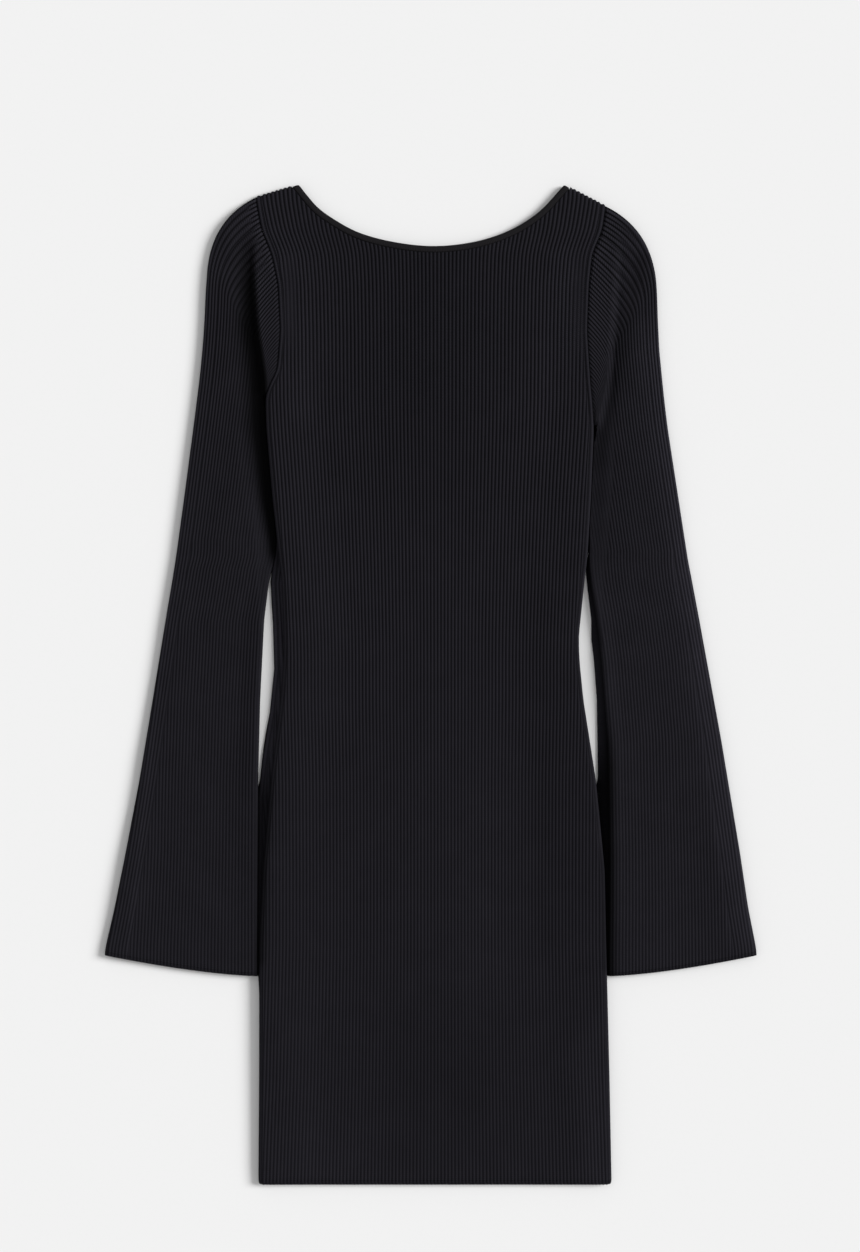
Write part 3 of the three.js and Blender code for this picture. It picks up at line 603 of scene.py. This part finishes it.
def lay(bm, places, uv, marks, flip=False, wrapped=False):
    """Adds a grid with every vertex moved to its place, and returns its vertices by (row, column)."""
    rows, columns = places.shape[0] - 1, places.shape[1] - 1
    old = set(bm.verts)
    bmesh.ops.create_grid(bm, x_segments=columns, y_segments=rows, size=0.5)
    layer = bm.loops.layers.uv["UVMap"]
    kept = [(bm.verts.layers.float[mark], marks[mark]) for mark in MARKS]
    spots = {}
    for vert in bm.verts:
        if vert not in old:
            spots[vert] = (round((vert.co.y + 0.5) * rows), round((vert.co.x + 0.5) * columns))
    faces = {face for vert in spots for face in vert.link_faces}
    for face in faces:
        face.smooth = True
        for loop in face.loops:
            loop[layer].uv = uv[spots[loop.vert]]
    for vert, spot in spots.items():
        vert.co = Vector(places[spot]) * MM
        for mark, values in kept:
            vert[mark] = values[spot]
    if flip:
        bmesh.ops.reverse_faces(bm, faces=list(faces))
    if wrapped:
        ends = [vert for vert, (_, column) in spots.items() if column in (0, columns)]
        bmesh.ops.remove_doubles(bm, verts=ends, dist=1e-7)
    return {vert: spot for vert, spot in spots.items() if vert.is_valid}


def join_rims(bm, outer, inner, row=None):
    """Joins the open edges of a piece's outer and inner skins, in one row or all round."""
    edges = set()
    for spots in (outer, inner):
        last = max(spot[0] for spot in spots.values())
        wanted = {None: None, 0: 0, -1: last}[row]
        kept = {vert for vert, spot in spots.items() if wanted is None or spot[0] == wanted}
        beside = {edge for vert in kept for edge in vert.link_edges if edge.is_boundary}
        edges |= {edge for edge in beside if kept.issuperset(edge.verts)}
    bmesh.ops.bridge_loops(bm, edges=list(edges))


def finished(name, bm, finish):
    mesh = bpy.data.meshes.new(name)
    bm.to_mesh(mesh)
    bm.free()
    mesh.materials.append(finish)
    made = bpy.data.objects.new(name, mesh)
    bpy.context.scene.collection.objects.link(made)
    return made


def shell(name, places, inside, v, marks, finish, flip=False, tube=False):
    """A closed thin piece from its ribbed outer skin and its plain inner one, which has a quarter of
    the rows and columns. v is how far along the piece each row lies, from 0 to 1."""
    places[..., 2] = np.maximum(places[..., 2], 0)
    inside[..., 2] = np.maximum(inside[..., 2], LEAST_INSIDE_Z)
    u = np.linspace(0, 1, places.shape[1])
    uv = np.stack(np.broadcast_arrays(u[None, :], v[:, None]), -1)
    bm = new_piece()
    outer = lay(bm, places, uv, marks, flip, tube)
    few = (slice(None, None, RIB_PARTS), slice(None, None, RIB_PARTS))
    few_marks = {mark: marks[mark][few] for mark in MARKS}
    inner = lay(bm, inside[few], uv[few], few_marks, not flip, tube)
    for row in (0, -1) if tube else (None,):
        join_rims(bm, outer, inner, row)
    return finished(name, bm, finish)


def read_rows(table, y):
    """What a table of [height, value] rows gives at each height."""
    table = np.array(table, float)
    return np.interp(y, table[:, 0], table[:, 1])


def make_front(finish):
    columns = body_columns()
    rows = body_rows(BODY_ROWS)
    y, x, z, depth = body_places(columns, rows)
    seam = body.at("seam", y)
    dip = SEAM_DIP * np.exp(-((depth / SEAM_DIP_WIDTH) ** 2)) * sewn_side(x, y)
    high = z - dip + relief(CREASES["front"], x, y) * ease(depth / CREASE_DEPTH)
    high = mix(seam, high, turn((top_edge(x)[1] - y) / SHOULDER_TURN))
    high = mix(0.5 * (seam + high), high, turn((y - HEM_Y) / HEM_TURN))
    base = np.stack([x, y + hem_corner(y, depth), high], -1)
    faces = outward(base)
    across, half = (np.where(x < 0, both["left"], both["right"]) for both in (PLAIN_X, PLAIN_HALF))
    zone = np.exp(-(((x - across) / half) ** 4) - ((y - PLAIN_Y) / PLAIN_LENGTH) ** 4)
    ribbing = read_rows(BODY_DEPTHS, y) * (1 - PLAINNESS * zone)
    rise = rib_height(RIB_HEIGHT, ribbing) * columns.rises_at(y)
    # The tone mark carries the painted light and shade of the front's strokes.
    marks = {"tone": 1 + strokes(PAINTED_LIGHT_AND_SHADE["front"], x, y), "ribbing": ribbing, "fine": 0 * y}
    v = (rows - HEM_Y) / (rows[-1] - HEM_Y)
    places = base + faces * rise[..., None]
    return shell("front_panel", places, base - faces * CLOTH, v, marks, finish)


def gap_strip_light(width, y):
    """How much lighter a lower layer's dark strip is painted where it shows past the upper one, for
    the half-lit shadow on the floor of the wider gaps.
    """
    return 1 + GAP_STRIP_LIGHT * np.clip(width / PEEK_FULL_TONE, 0, 1) * ease((y - PEEK_DARK_Y) / PEEK_FADE)


def make_back(finish):
    columns = body_columns()
    rows = body_rows(BACK_ROWS)
    y, x, _, depth = body_places(columns, rows)
    seam = body.at("seam", y) - SEAM_DROP
    # The back's edges widen into dark strips that stand in for the shadow in the gaps.
    shadow_strip = 0 * y
    for name, handed in (("left", -1), ("right", 1)):
        there = (x * handed > 0) & (y > PEEK_TO)
        room = sleeves[name].at("inner", y) - body.at(name, y) + PEEK_UNDER["back"]
        shadow_strip += there * handed * np.clip(room, 0, read_rows(BACK_SHADOW_STRIPS[name], y))
    x = x + shadow_strip * (1 - np.clip(depth / PEEK_REACH, 0, 1))
    free = (1 - sewn_side(x, y)) * (1 - np.clip(2 * np.abs(shadow_strip), 0, 1))
    side = (1 - turn(depth / TURN)) * free
    top = 1 - turn((top_edge(x)[1] - y) / SHOULDER_TURN)
    low = mix(UNDER_RIB_HEIGHT, seam, np.maximum(side, top))
    base = np.stack([x, y + hem_corner(y, depth), low], -1)
    faces = -outward(base)
    rise = UNDER_RIB_HEIGHT * columns.rises_at(y)
    places = base + faces * rise[..., None]
    v = (rows - HEM_Y) / (rows[-1] - HEM_Y)
    marks = {"tone": gap_strip_light(np.abs(shadow_strip), y), "ribbing": read_rows(BODY_DEPTHS, y), "fine": 0 * y}
    return shell("back_panel", places, base - faces * CLOTH, v, marks, finish, flip=True)


def armhole(name):
    """The armhole seam from the shoulder down to the underarm, as distances from the middle line."""
    y = np.linspace(SHOULDER_END_Y[name], UNDERARM_Y[name], 300)
    x = body.at(name, y) + SEAM_GAP / 2
    reached = np.concatenate([[0], np.cumsum(np.hypot(np.diff(x), np.diff(y)))])
    return x, y, reached


def sleeve_plan(name):
    """The columns and the plan places of a sleeve's upper layer from the cuff up to the armhole, and
    how near each row is to the armhole."""
    table, columns = sleeves[name], sleeve_columns(name)
    edge, first, line, rest = SLEEVE_RIBS.values()
    column = np.arange(columns.count)

    def place(y):
        return mix(table.at("outer", y), table.at("inner", y), columns.place(column, y))

    at_seam = rib_starts(sleeve_widths(np.array([float(first + rest)])))[0]
    seam_x, seam_y, reached = armhole(name)
    start_x = np.interp(at_seam * reached[-1], reached, seam_x)
    start_y = np.interp(at_seam * reached[-1], reached, seam_y)
    from_edge = column / RIB_PARTS - edge
    rib = np.where(from_edge < first, np.maximum(0, from_edge), np.maximum(first, from_edge - line))
    lower = ease(rib / SLOPING_RIBS)
    fall = np.tan(np.radians(mix(SHOULDER_SLOPE, ARM_SLOPE, lower)))
    corner_x, corner_y = start_x + CORNER_GUESS, start_y
    for _ in range(SETTLING_TRIES):
        corner_y = mix(corner_y, start_y - (corner_x - start_x) * fall, CORNER_STEP)
        corner_x = np.maximum(start_x, place(corner_y))
    straight = corner_y - mix(FIRST_BEND, LATER_BEND, lower)
    cuff_x = place(np.full(columns.count, CUFF_Y))
    outer, inner = table.columns["outer"][0], table.columns["inner"][0]
    across = np.clip((cuff_x - outer) / (inner - outer), 0, 1)
    cuff = CUFF_Y - CUFF_DROP * (1 - (1 - across) ** CUFF_BEND)
    ends = np.array([0, 0.4, 0.9, 1.6, 3.0]) / 600
    levels = np.concatenate([ends, np.linspace(0.01, 1, SLEEVE_ROWS - len(ends) + 1)])
    t = np.linspace(0, 1, SLEEVE_BEND_ROWS + 1)[1:, None]
    down_y = mix(cuff, straight, levels[:, None])
    down_x = np.stack([place(y) for y in down_y])
    turned = place(straight)
    bend_x = (1 - t) ** 2 * turned + 2 * t * (1 - t) * corner_x + t**2 * start_x
    bend_y = (1 - t) ** 2 * straight + 2 * t * (1 - t) * corner_y + t**2 * start_y
    near = np.concatenate([0 * levels, t[:, 0]])
    return columns, np.concatenate([down_x, bend_x]), np.concatenate([down_y, bend_y]), near


def sleeve_heights(name, x, y, near):
    """The height of a sleeve's upper layer under its ribs, how much its edges are turned down, and
    where its ribs lie closer."""
    table = sleeves[name]
    outer, inner = table.at("outer", y), table.at("inner", y)
    outside, centre, inside = (table.at(key, y) for key in ("outside", "centre", "inside"))
    from_inner = x - inner
    low = read_rows(LOW_STRIP[name], y)
    main = mix(inside, centre, ease((from_inner - low) / VALLEY_RISE[name]))
    main = mix(outside, main, ease((outer - x) / OUTER_RISE))
    fold = ease((FOLD_TOP_Y - y) / (FOLD_TOP_Y - FOLD_FULL_Y))
    above = ease((y - UNDERARM_Y[name]) / PATCH_FADE + 0.4)
    soft = ease(near * PATCH_SOFTNESS)
    patch = mix(soft, 1 - ease((from_inner + 1) / FOLD_WIDTH[name]), fold) * above
    sewn = body.at("side", y) + PATCH_RISE * np.sin(np.pi * near) * above
    high = mix(main, sewn, patch) + relief(CREASES["sleeve"], x, y) * (1 - patch)
    steps = np.hypot(np.diff(x, axis=1), np.diff(y, axis=1))
    from_outer = np.concatenate([0 * x[:, :1], np.cumsum(steps, 1)], 1)
    from_end = from_outer[:, -1:] - from_outer
    edges = turn(from_outer / SLEEVE_TURN) * turn(from_end / SLEEVE_TURN)
    seam_x, seam_y, _ = armhole(name)
    to_seam = np.abs(x - np.interp(y, seam_y[::-1], seam_x[::-1]))
    dip = SEAM_DIP * np.exp(-((to_seam / SEAM_DIP_WIDTH) ** 2)) * (near > 0)
    beside_fold = (1 - ease((from_inner + 2) / 3)) * ease((FINE_TOP_Y - y) / FINE_FADE)
    fine = np.maximum(beside_fold, 1 - ease((to_seam - FINE_FROM) / FINE_REACH[name]))
    fine = fine * np.clip(near * FINE_RAMP[name], 0, 1) * above
    return mix(SLEEVE_EDGE_Z, high - dip, edges), edges, fine


def fold_shade(name, x, y):
    """How much painted shade darkens the cloth in the deep valley beside the fold."""
    heights, darkness, width = np.array(FOLD_SHADE[name], float).T
    width = np.interp(y, heights, width)
    from_inner = x - sleeves[name].at("inner", y)
    soft = np.exp(-((from_inner / width - SHADE_CENTRE) ** 2))
    return np.interp(y, heights, darkness) * soft * ease((from_inner + SHADE_EDGE) / SHADE_SOFTNESS)


def make_sleeve(name, finish):
    columns, x, y, near_row = sleeve_plan(name)
    near = near_row[:, None] * np.ones(columns.count)
    upper, edges, fine = sleeve_heights(name, x, y, near)
    lower = mix(SLEEVE_EDGE_Z, UNDER_RIB_HEIGHT, edges)
    at_seam = SLEEVE_RIBS["first"] + SLEEVE_RIBS["rest"]
    rise = rib_rise(sleeve_widths(mix(ribs_across(name, y[:, 0]), at_seam, near_row)))
    around = np.concatenate([np.arange(columns.count), np.arange(columns.count - 2, -1, -1)])
    on_top = np.arange(len(around)) < columns.count
    handed = -1 if name == "left" else 1
    z = np.where(on_top, upper[:, around], lower[:, around])
    from_inner = x - sleeves[name].at("inner", y)
    # The lower layer's inner edge widens into a dark strip that stands in for the shadow in the gaps.
    room = x - from_inner - body.at(name, y) + PEEK_UNDER["sleeve"]
    under = np.clip(room, 0, read_rows(UNDER_SHADOW_STRIPS[name], y))
    under = under * (1 - np.clip(from_inner / PEEK_REACH, 0, 1))
    plan_x = np.where(on_top, x[:, around], (x - under)[:, around])
    base = np.stack([handed * plan_x, y[:, around], z], -1)
    flip = name == "right"
    faces = outward(base, closed=True) * (-1 if flip else 1)
    height = np.where(on_top, RIB_HEIGHT, UNDER_RIB_HEIGHT)
    ribbing = read_rows(SLEEVE_DEPTHS, base[..., 1])
    fine = np.where(on_top, fine[:, around], 0)
    rise = rise[:, around] * rib_height(height, ribbing) * (1 - FINE_RIB_LOSS * fine)
    places = base + faces * rise[..., None]
    # Painted light and shade of the upper layer: the strokes and the shade beside the fold; the lower
    # layer gets the painted light of its gap strip.
    upper_painted_light = np.maximum(1 + strokes(PAINTED_LIGHT_AND_SHADE[name], x, y) - fold_shade(name, x, y), LEAST_TONE)
    tone = np.where(on_top, upper_painted_light[:, around], gap_strip_light(under, y)[:, around])
    marks = {"tone": tone, "ribbing": ribbing + FINE_STRENGTH * fine, "fine": fine}
    steps = np.hypot(np.diff(x, axis=0), np.diff(y, axis=0)).mean(1)
    v = np.concatenate([[0], np.cumsum(steps)]) / steps.sum()
    inside = base - faces * CLOTH
    return shell("sleeve_" + name + "_knit", places, inside, v, marks, finish, flip, tube=True)


def make_neckband(finish):
    """One strip over the front neckline, round a fold at the shoulder and under the back one."""
    fold = BAND_STACK / 2 - BAND_THICKNESS / 2
    end = BAND_STACK / 2
    angles = np.linspace(0, np.pi, BAND_FOLD_STEPS)[1:-1]
    run = np.linspace(end, NECK_LENGTH - end, BAND_STEPS // 2 - len(angles))
    distance = np.concatenate([run, 0 * angles + run[-1], run[::-1], 0 * angles + run[0], run[:1]])
    angle = np.concatenate([0 * run, angles, 0 * run + np.pi, np.pi + angles, [2 * np.pi]])
    side = np.linspace(0, 2 * np.pi, BAND_SIDES + 1)
    ways = (np.cos(side), np.sin(side))
    round_x, round_z = (np.sign(way) * np.abs(way) ** BAND_SQUARENESS for way in ways)
    out = BAND_WIDTH / 2 * (1 + round_x)
    across = BAND_THICKNESS / 2 * round_z
    from_end = {"left": distance, "right": NECK_LENGTH - distance}
    slant = sum(BAND_SLANT[name] * (1 - ease(far / SLANT_REACH)) for name, far in from_end.items())
    point, along = beside_neck(distance[:, None] + slant[:, None] * out, out + 0 * distance[:, None])
    radius = fold + across[None, :]
    point = point + along * (radius * np.sin(angle[:, None]))[..., None]
    z = BAND_STACK / 2 + radius * np.cos(angle[:, None])
    places = np.concatenate([point, z[..., None]], -1)
    reached = np.concatenate([[0], np.cumsum(np.linalg.norm(np.diff(places[:, 0], axis=0), axis=1))])
    uv = np.stack(np.broadcast_arrays(side[None, :] / (2 * np.pi), reached[:, None] / reached[-1]), -1)
    bm = new_piece()
    lay(bm, places, uv, {mark: np.ones(places.shape[:2]) for mark in MARKS})
    bmesh.ops.remove_doubles(bm, verts=bm.verts, dist=1e-7)
    bmesh.ops.recalc_face_normals(bm, faces=bm.faces)
    return finished("neckband_strip", bm, finish)


class Level:
    """A number or colour that a socket gives. An expression on it adds its Math nodes."""

    def __init__(self, finish, socket):
        self.finish = finish
        self.socket = socket

    def math(self, operation, *others):
        inputs = {i: other for i, other in enumerate((self,) + others)}
        return self.finish.add("Math", {"operation": operation}, inputs)

    def __add__(self, other):
        return self.math("ADD", other)

    def __sub__(self, other):
        return self.math("SUBTRACT", other)

    def __rsub__(self, other):
        return self.finish.add("Math", {"operation": "SUBTRACT"}, {0: other, 1: self})

    def __mul__(self, other):
        return self.math("MULTIPLY", other)

    __radd__ = __add__
    __rmul__ = __mul__


class Finish:
    """A material made of nodes."""

    def __init__(self, name):
        self.material = bpy.data.materials.new(name)
        self.material.use_nodes = True
        self.tree = self.material.node_tree
        self.tree.nodes.clear()

    def add(self, kind, settings=None, inputs=None, out=0):
        node = self.tree.nodes.new("ShaderNode" + kind)
        for name, value in (settings or {}).items():
            setattr(node, name, value)
        for name, value in (inputs or {}).items():
            if isinstance(value, Level):
                self.tree.links.new(value.socket, node.inputs[name])
            else:
                node.inputs[name].default_value = value
        return Level(self, node.outputs[out]) if len(node.outputs) else node

    def noise(self, scale, detail=3.0, roughness=0.6):
        where = self.add("TexCoord", out=3)
        inputs = {"Vector": where, "Scale": scale, "Detail": detail, "Roughness": roughness}
        return self.add("TexNoise", inputs=inputs)

    def across_and_along(self):
        """How far across and along its piece a point lies, from 0 to 1."""
        place = self.add("UVMap", {"uv_map": "UVMap"})
        return [self.add("SeparateXYZ", inputs={0: place}, out=way) for way in (0, 1)]

    def show(self, surface):
        self.add("OutputMaterial", inputs={"Surface": surface})
        return self.material


def knit_finish(name, ribs, length):
    """Rib knit: a column of stitches on every rib, fuzz, a slow change of tone, painted shade in the
    rib valleys with lighter crowns, and each vertex's painted light and shade.
    """
    knit = Finish(name)
    across, along = knit.across_and_along()
    grain = knit.noise(900.0)
    patches = knit.noise(55.0)
    marks = {mark: knit.add("Attribute", {"attribute_name": mark}, out=2) for mark in MARKS}
    sides = [(across * (ribs * times)).math("FRACT") - 0.5 for times in (1, FINE)]
    side, close = (one.math("ABSOLUTE") * 2.0 for one in sides)
    valley = side * side * (1.0 - marks["fine"]) + close * close * marks["fine"]
    course = along * (length / COURSE) + patches * 1.2 + grain * 0.35
    leg = ((course + side * 0.55) * (2 * math.pi)).math("SINE")
    stitch = leg * (1.0 - valley)
    start = (1.0 - (along * (length / START_LENGTH)).math("MINIMUM", 1.0)).math("CEIL")
    rows = ((along * (length / START_COURSE)) * (2 * math.pi)).math("SINE") * start
    height = stitch * 0.13 - valley * 0.10 + grain * 0.16 + rows * 0.25
    bump = knit.add("Bump", inputs={"Strength": 0.9, "Distance": 1.0 * MM, "Height": height})
    # Painted shade: the rib valleys darker and the crowns lighter, more so where the ribs are deeper.
    painted_rib_shade = (0.33 - valley) * marks["ribbing"] * 0.75
    tone = painted_rib_shade + stitch * 0.10 + (grain - 0.5) * 0.35 + (patches - 0.5) * 0.18 + 0.5
    # The vertex mark adds the painted light and shade of the strokes, the fold and the gap strips.
    share = (tone * marks["tone"]).math("MAXIMUM", 0.0)
    mixing = {"data_type": "RGBA", "clamp_factor": False}
    colour = knit.add("Mix", mixing, {0: share, 6: BLACK_DARK, 7: BLACK_LIGHT}, out=2)
    shader = knit.add("BsdfPrincipled", inputs={
        "Base Color": colour, "Roughness": 0.9, "Specular IOR Level": 0.05, "Normal": bump})
    return knit.show(shader)


def band_finish():
    """Plain fine knit of the neckband, with its stitches in rows along it."""
    knit = Finish("plain knit")
    across, along = knit.across_and_along()
    grain = knit.noise(900.0)
    side = ((across * 12.0).math("FRACT") - 0.5).math("ABSOLUTE") * 2.0
    leg = ((along * (BAND_LENGTH / BAND_STITCH) + side * 0.5) * (2 * math.pi)).math("SINE")
    height = leg * 0.12 + grain * 0.2
    bump = knit.add("Bump", inputs={"Strength": 0.8, "Distance": 1.0 * MM, "Height": height})
    colour = knit.add("Mix", {"data_type": "RGBA"}, {0: grain, 6: BAND_DARK, 7: BAND_LIGHT}, out=2)
    shader = knit.add("BsdfPrincipled", inputs={
        "Base Color": colour, "Roughness": 0.85, "Specular IOR Level": 0.08, "Normal": bump})
    return knit.show(shader)


def make_floor():
    bm = bmesh.new()
    bmesh.ops.create_grid(bm, x_segments=2, y_segments=2, size=6)
    paper = Finish("pale paper")
    grain = paper.noise(300.0, detail=2.0, roughness=0.5)
    colour = paper.add("Mix", {"data_type": "RGBA"}, {0: grain, 6: PAPER_DARK, 7: PAPER_LIGHT}, out=2)
    surface = paper.add("BsdfPrincipled", inputs={
        "Base Color": colour, "Roughness": 1.0, "Specular IOR Level": 0.0})
    floor = finished("floor", bm, paper.show(surface))


def make_light():
    world = bpy.data.worlds.new("studio")
    world.use_nodes = True
    world.node_tree.nodes["Background"].inputs["Color"].default_value = (1, 1, 1, 1)
    world.node_tree.nodes["Background"].inputs["Strength"].default_value = ROOM_LIGHT
    bpy.context.scene.world = world
    lamp = bpy.data.lights.new("softbox", "SUN")
    lamp.energy = KEY_LIGHT
    lamp.angle = math.radians(KEY_SPREAD)
    softbox = bpy.data.objects.new("softbox", lamp)
    up, round_to = math.radians(KEY_ELEVATION), math.radians(KEY_TURN)
    level = math.cos(up)
    towards = Vector((level * math.cos(round_to), level * math.sin(round_to), math.sin(up)))
    softbox.rotation_euler = towards.to_track_quat("Z", "Y").to_euler()
    bpy.context.scene.collection.objects.link(softbox)


def make_camera():
    camera = bpy.data.objects.new("camera", bpy.data.cameras.new("camera"))
    camera.data.lens = LENS
    camera.data.sensor_width = SENSOR
    camera.location = CAMERA_AT
    camera.rotation_euler = (0, 0, 0)
    bpy.context.scene.collection.objects.link(camera)
    bpy.context.scene.camera = camera
    bpy.context.scene.view_settings.view_transform = "Standard"


make_camera()
make_light()
make_floor()
body_knit = knit_finish("rib knit of the body", BODY_RIBS, BODY_LENGTH)
sleeve_knit = knit_finish("rib knit of the sleeves", 2.0 * sum(SLEEVE_RIBS.values()), SLEEVE_LENGTH)
front = make_front(body_knit)
back = make_back(body_knit)
sleeve_left = make_sleeve("left", sleeve_knit)
sleeve_right = make_sleeve("right", sleeve_knit)
neckband = make_neckband(band_finish())
for made, node in ((front, "front"), (back, "back"), (sleeve_left, "sleeve_left"),
                   (sleeve_right, "sleeve_right"), (neckband, "neckband")):
    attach(made, "root")
    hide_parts(node)
